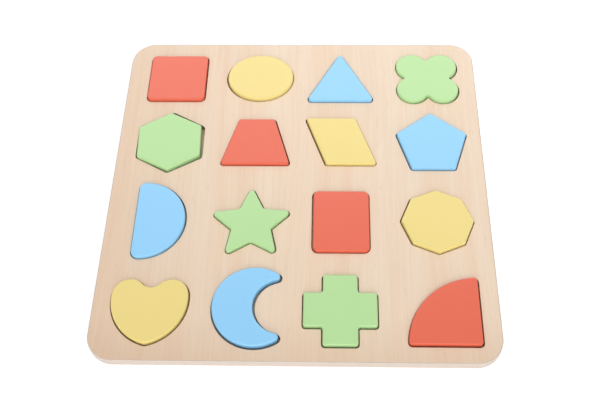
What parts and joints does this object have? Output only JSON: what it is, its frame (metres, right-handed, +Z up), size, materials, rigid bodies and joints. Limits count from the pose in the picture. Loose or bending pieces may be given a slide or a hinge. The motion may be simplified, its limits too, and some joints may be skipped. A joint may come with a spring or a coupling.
{
  "type": "geometric shape puzzle",
  "caption": "Flat square wooden board with rounded corners; painted geometric shapes stand a little proud of their fitted recesses in rows and columns and lift out.",
  "frame": {"origin": "middle of the board's underside, on the surface it lies on", "axes": "+X to the right and +Y to the back of the board as a child sits at it, +Z up out of the board"},
  "size_m": [0.3, 0.3, 0.0113],
  "materials": {
    "bare_wood": "pale sanded plywood, nearly matt, straight fine grain from front to back",
    "red_paint": "coral red paint on wood, satin",
    "yellow_paint": "pale yellow paint on wood, satin",
    "blue_paint": "sky blue paint on wood, satin",
    "green_paint": "soft green paint on wood, satin"
  },
  "bodies": {
    "board": {"tray_panel": "bare_wood", "backing_panel": "bare_wood"},
    "red_square": {"red_square": "red_paint"},
    "yellow_oval": {"yellow_oval": "yellow_paint"},
    "blue_triangle": {"blue_triangle": "blue_paint"},
    "green_clover": {"green_clover": "green_paint"},
    "green_hexagon": {"green_hexagon": "green_paint"},
    "red_trapezoid": {"red_trapezoid": "red_paint"},
    "yellow_parallelogram": {"yellow_parallelogram": "yellow_paint"},
    "blue_pentagon": {"blue_pentagon": "blue_paint"},
    "blue_half_disc": {"blue_half_disc": "blue_paint"},
    "green_star": {"green_star": "green_paint"},
    "red_rectangle": {"red_rectangle": "red_paint"},
    "yellow_octagon": {"yellow_octagon": "yellow_paint"},
    "yellow_heart": {"yellow_heart": "yellow_paint"},
    "blue_moon": {"blue_moon": "blue_paint"},
    "green_cross": {"green_cross": "green_paint"},
    "red_quarter_disc": {"red_quarter_disc": "red_paint"}
  },
  "joints": [
    {"name": "red_square_lift", "type": "slide", "parent": "board", "child": "red_square", "axis": [0, 0, 1], "range_m": [0, 0.03]},
    {"name": "yellow_oval_lift", "type": "slide", "parent": "board", "child": "yellow_oval", "axis": [0, 0, 1], "range_m": [0, 0.03]},
    {"name": "blue_triangle_lift", "type": "slide", "parent": "board", "child": "blue_triangle", "axis": [0, 0, 1], "range_m": [0, 0.03]},
    {"name": "green_clover_lift", "type": "slide", "parent": "board", "child": "green_clover", "axis": [0, 0, 1], "range_m": [0, 0.03]},
    {"name": "green_hexagon_lift", "type": "slide", "parent": "board", "child": "green_hexagon", "axis": [0, 0, 1], "range_m": [0, 0.03]},
    {"name": "red_trapezoid_lift", "type": "slide", "parent": "board", "child": "red_trapezoid", "axis": [0, 0, 1], "range_m": [0, 0.03]},
    {"name": "yellow_parallelogram_lift", "type": "slide", "parent": "board", "child": "yellow_parallelogram", "axis": [0, 0, 1], "range_m": [0, 0.03]},
    {"name": "blue_pentagon_lift", "type": "slide", "parent": "board", "child": "blue_pentagon", "axis": [0, 0, 1], "range_m": [0, 0.03]},
    {"name": "blue_half_disc_lift", "type": "slide", "parent": "board", "child": "blue_half_disc", "axis": [0, 0, 1], "range_m": [0, 0.03]},
    {"name": "green_star_lift", "type": "slide", "parent": "board", "child": "green_star", "axis": [0, 0, 1], "range_m": [0, 0.03]},
    {"name": "red_rectangle_lift", "type": "slide", "parent": "board", "child": "red_rectangle", "axis": [0, 0, 1], "range_m": [0, 0.03]},
    {"name": "yellow_octagon_lift", "type": "slide", "parent": "board", "child": "yellow_octagon", "axis": [0, 0, 1], "range_m": [0, 0.03]},
    {"name": "yellow_heart_lift", "type": "slide", "parent": "board", "child": "yellow_heart", "axis": [0, 0, 1], "range_m": [0, 0.03]},
    {"name": "blue_moon_lift", "type": "slide", "parent": "board", "child": "blue_moon", "axis": [0, 0, 1], "range_m": [0, 0.03]},
    {"name": "green_cross_lift", "type": "slide", "parent": "board", "child": "green_cross", "axis": [0, 0, 1], "range_m": [0, 0.03]},
    {"name": "red_quarter_disc_lift", "type": "slide", "parent": "board", "child": "red_quarter_disc", "axis": [0, 0, 1], "range_m": [0, 0.03]}
  ]
}
